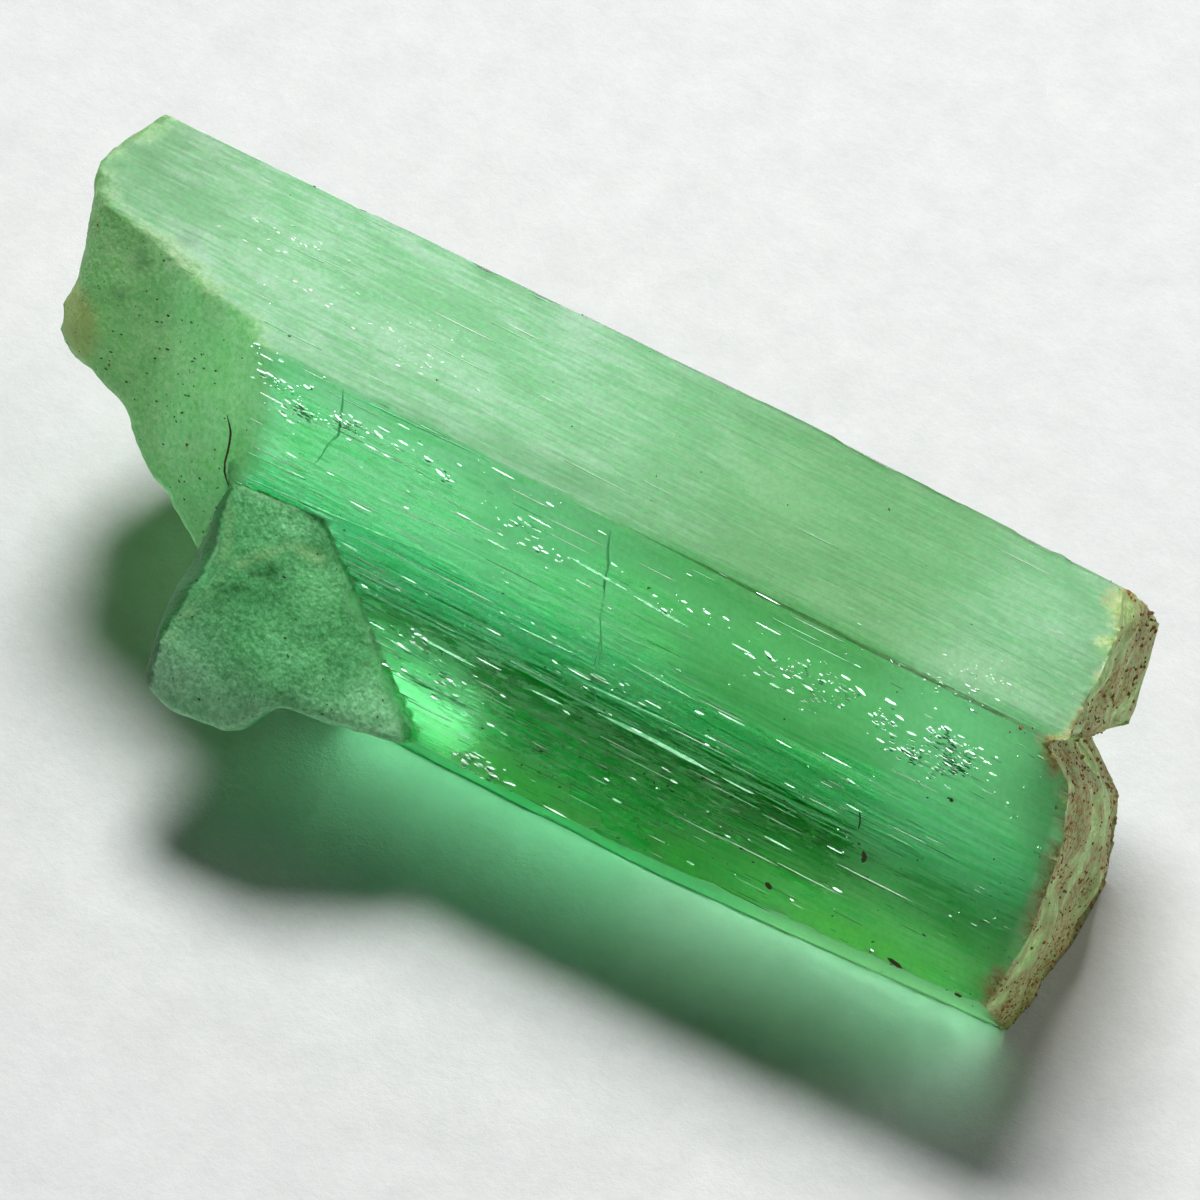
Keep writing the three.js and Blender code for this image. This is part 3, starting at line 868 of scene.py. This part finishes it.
# The cracks stand open by a hair's breadth. Their walls are rough and turn the light away, so they
# look a little darker than the green round them.
crack_wall, tree = new_material("rough_crack_wall")
where = add(tree, "ShaderNodeTexCoord").outputs["Object"]
uneven = add(tree, "ShaderNodeTexNoise", {"Vector": where, "Scale": 6 / MM, "Detail": 2.0})
wall_colour = add(tree, "ShaderNodeMix", {0: uneven, 6: "60F090", 7: "90FFB0"}, data_type="RGBA")
dull = add(tree, "ShaderNodeBsdfPrincipled", {"Base Color": wall_colour, "Roughness": 0.6})
add(tree, "ShaderNodeOutputMaterial", {"Surface": dull})
threads("cracks", crack_wall, [
    (0.02, 0.01, (3.39, 0.03), (3.43, 0.16), (3.45, 0.3), (3.49, 0.51), (3.44, 0.6)),
    (0.012, 0.01, (3.47, 0.5), (3.4, 0.68), (3.38, 0.8), (3.32, 0.93)),
    (0.024, 0.01, (6.52, 0.1), (6.55, 0.3), (6.61, 0.46), (6.62, 0.62), (6.67, 0.79)),
    (0.012, 0.01, (6.66, 0.76), (6.69, 1.0), (6.76, 1.2), (6.78, 1.5), (6.86, 1.74), (6.96, 1.92)),
    (0.014, 0.01, (6.72, 1.1), (6.8, 1.28), (6.82, 1.5)),
    (0.012, 0.01, (3.5, 0.055), (4.3, 0.04), (5.09, 0.014)),
])

root_hair, tree = new_material("dry_root_and_dirt")
where = add(tree, "ShaderNodeTexCoord").outputs["Object"]
uneven = add(tree, "ShaderNodeTexNoise", {"Vector": where, "Scale": 6 / MM, "Detail": 2.0})
hair_colour = add(tree, "ShaderNodeMix", {0: uneven, 6: "16301A", 7: "5C4A22"}, data_type="RGBA")
dull = add(tree, "ShaderNodeBsdfPrincipled", {"Base Color": hair_colour, "Roughness": 0.7})
add(tree, "ShaderNodeOutputMaterial", {"Surface": dull})
threads("hair_and_dirt", root_hair, [
    (0.014, 0.014, (9.86, 1.6), (9.9, 1.7), (9.91, 1.8)),
    (0.05, 0.012, (10.02, 1.98), (10.06, 2.04), (10.05, 2.1)),
    (0.035, 0.012, (10.7, 1.05), (10.74, 1.07)),
    (0.04, 0.012, (10.6, 2.9), (10.78, 2.93)),
    (0.05, 0.012, (11.36, 2.96), (11.44, 3.0)),
    (0.05, 0.012, (9.16, 2.77), (9.24, 2.81)),
    (0.022, 0.014, (2.24, 0.88), (2.36, 1.02), (2.39, 1.16), (2.44, 1.4), (2.53, 1.55)),
])

# ---- Iron stain ------------------------------------------------------------------------
# Grains of limonite caught in the frosted right end, and a small ring of them near it.
limonite, tree = new_material("limonite_grain")
where = add(tree, "ShaderNodeTexCoord").outputs["Object"]
patchy = add(tree, "ShaderNodeTexNoise", {"Vector": where, "Scale": 7 / MM, "Detail": 3.0})
rust_colour = add(tree, "ShaderNodeMix", {0: patchy, 6: "5E3C14", 7: "A8782C"}, data_type="RGBA")
dull = add(tree, "ShaderNodeBsdfPrincipled", {"Base Color": rust_colour, "Roughness": 0.85})
add(tree, "ShaderNodeOutputMaterial", {"Surface": dull})
strew("limonite_grains", {
    "Where": "rust", "Count per square metre": 45 / MM**2, "Seed": 17,
    "Shortest": 0.015 * MM, "Longest": 0.09 * MM, "Thinnest": 0.012 * MM, "Thickest": 0.045 * MM,
    "Flatness": 0.6, "Lean": (0.0, 0.0, 0.0), "Swing": (1.0, 1.0, 1.0), "Material": limonite,
})

# ---- Where it lies ---------------------------------------------------------------------
# A sheet of smooth pale paper, much larger than the crystal.
PAPER_HALF = 150 * MM
SHEET_GAP = 0.004 * MM  # keeps the resting face and the paper apart
corners = [(-PAPER_HALF, -PAPER_HALF, 0), (PAPER_HALF, -PAPER_HALF, 0), (PAPER_HALF, PAPER_HALF, 0),
           (-PAPER_HALF, PAPER_HALF, 0)]
paper_mesh = bpy.data.meshes.new("paper")
paper_mesh.from_pydata(corners, [], [(0, 1, 2, 3)])
paper = bpy.data.objects.new("paper", paper_mesh)
paper.location.z = -SHEET_GAP
scene.collection.objects.link(paper)
paper_stuff, tree = new_material("pale_paper")
where = add(tree, "ShaderNodeTexCoord").outputs["Object"]
pulp = add(tree, "ShaderNodeTexNoise", {"Vector": where, "Scale": 1.6 / MM, "Detail": 6.0, "Roughness": 0.8})
fibres = add(tree, "ShaderNodeTexNoise", {"Vector": where, "Scale": 9 / MM, "Detail": 3.0, "Roughness": 0.8})
tone = add(tree, "ShaderNodeMix", {0: pulp, 6: "CBCECD", 7: "EBECEB"}, data_type="RGBA")
bump = add(tree, "ShaderNodeBump", {"Height": fibres, "Strength": 0.5, "Distance": 0.02 * MM})
sheet = add(
    tree, "ShaderNodeBsdfPrincipled", {"Base Color": tone, "Roughness": 0.9, "Normal": bump}
)
add(tree, "ShaderNodeOutputMaterial", {"Surface": sheet})
paper_mesh.materials.append(paper_stuff)

# ---- Light and camera ------------------------------------------------------------------
# One soft lamp stands beyond the crystal, high up, and a broad weak one at its right.


def soft_light(name, direction, distance, size, power):
    lamp = bpy.data.lights.new(name, "AREA")
    lamp.shape = "DISK"
    lamp.size = size
    lamp.energy = power
    holder = bpy.data.objects.new(name, lamp)
    away = Vector(direction).normalized()
    holder.location = away * distance
    holder.rotation_euler = away.to_track_quat("Z", "Y").to_euler()
    scene.collection.objects.link(holder)


soft_light("high_softbox", (-0.22, 0.46, 1.0), distance=0.15, size=0.066, power=0.262)
soft_light("side_softbox", (1.0, 0.65, 0.78), distance=0.15, size=0.1, power=0.045)

world = bpy.data.worlds.new("studio")
world.use_nodes = True
background = world.node_tree.nodes["Background"]
background.inputs["Color"].default_value = (1, 1, 1, 1)
background.inputs["Strength"].default_value = 0.012
scene.world = world

azimuth, elevation = math.radians(32.55), math.radians(52)
back = Vector(
    (math.sin(azimuth) * math.cos(elevation), -math.cos(azimuth) * math.cos(elevation), math.sin(elevation))
)
right_way = Vector((math.cos(azimuth), math.sin(azimuth), 0))
up = back.cross(right_way)
VIEW_WIDTH = 12.0 * MM
AIM_RIGHT = 0.274 * MM
AIM_UP = 1.45 * MM
lens = bpy.data.cameras.new("camera")
lens.lens = 400
lens.sensor_width = 36
lens.clip_start = 0.001
lens.clip_end = 10
camera = bpy.data.objects.new("camera", lens)
target = right_way * AIM_RIGHT + up * AIM_UP
camera.location = target + back * (VIEW_WIDTH * lens.lens / lens.sensor_width)
camera.rotation_euler = back.to_track_quat("Z", "Y").to_euler()
scene.collection.objects.link(camera)
scene.camera = camera
scene.view_settings.view_transform = "Standard"
# Light that has passed through the clear faces draws a strip on the paper, and it is kept sharp.
scene.cycles.blur_glossy = 0.0
# Light paths are no longer than the crystal needs, and two lamps need no light tree, so that a
# render stays short.
scene.cycles.max_bounces = 7
scene.cycles.diffuse_bounces = 3
scene.cycles.use_light_tree = False
